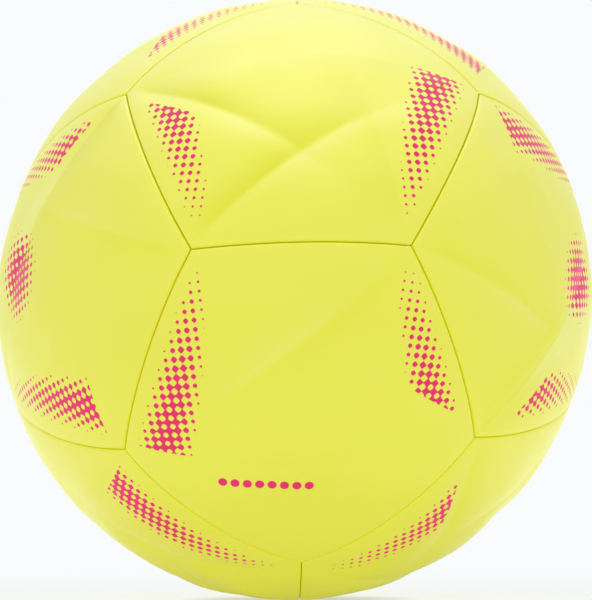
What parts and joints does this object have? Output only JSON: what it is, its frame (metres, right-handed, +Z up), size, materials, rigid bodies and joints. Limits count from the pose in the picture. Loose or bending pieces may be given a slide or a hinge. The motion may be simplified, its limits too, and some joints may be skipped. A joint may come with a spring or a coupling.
{
  "type": "handball",
  "caption": "Inflatable stitched handball: five-sided turned-in cover panels with rolled seams over woven linings and a bladder, with a push-in air valve.",
  "frame": {"origin": "centre of the ball", "axes": "+Z up, -Y towards the front, where one seam lies level and 10.3 degrees above the equator; the valve is in the upper back panel"},
  "size_m": [0.1796, 0.1798, 0.1798],
  "materials": {
    "cover": "satin, fine grain",
    "lining": "plain weave",
    "thread": "waxed twist",
    "bladder": "matte",
    "valve": "satin"
  },
  "bodies": {
    "ball": {"bladder": "bladder", "lining_back_lower": "lining", "lining_back_upper": "lining", "lining_bottom_left": "lining", "lining_bottom_right": "lining", "lining_front_lower": "lining", "lining_front_upper": "lining", "lining_left_back": "lining", "lining_left_front": "lining", "lining_right_back": "lining", "lining_right_front": "lining", "lining_top_left": "lining", "lining_top_right": "lining", "panel_back_lower": "cover", "panel_back_upper": "cover", "panel_bottom_left": "cover", "panel_bottom_right": "cover", "panel_front_lower": "cover", "panel_front_upper": "cover", "panel_left_back": "cover", "panel_left_front": "cover", "panel_right_back": "cover", "panel_right_front": "cover", "panel_top_left": "cover", "panel_top_right": "cover", "thread_back_lower_bottom_left": "thread", "thread_back_lower_bottom_right": "thread", "thread_back_lower_left_back": "thread", "thread_back_lower_right_back": "thread", "thread_back_upper_back_lower": "thread", "thread_back_upper_left_back": "thread", "thread_back_upper_right_back": "thread", "thread_back_upper_top_left": "thread", "thread_back_upper_top_right": "thread", "thread_bottom_left_bottom_right": "thread", "thread_bottom_left_left_back": "thread", "thread_bottom_left_left_front": "thread", "thread_bottom_right_right_back": "thread", "thread_bottom_right_right_front": "thread", "thread_front_lower_bottom_left": "thread", "thread_front_lower_bottom_right": "thread", "thread_front_lower_left_front": "thread", "thread_front_lower_right_front": "thread", "thread_front_upper_front_lower": "thread", "thread_front_upper_left_front": "thread", "thread_front_upper_right_front": "thread", "thread_front_upper_top_left": "thread", "thread_front_upper_top_right": "thread", "thread_left_front_left_back": "thread", "thread_right_front_right_back": "thread", "thread_top_left_left_back": "thread", "thread_top_left_left_front": "thread", "thread_top_left_top_right": "thread", "thread_top_right_right_back": "thread", "thread_top_right_right_front": "thread", "valve_boot": "valve"},
    "plug": {"valve_plug": "valve"}
  },
  "joints": [
    {"name": "plug_pull", "type": "slide", "parent": "ball", "child": "plug", "axis": [0, 0.9309, 0.3652], "range_m": [0, 0.02]}
  ]
}
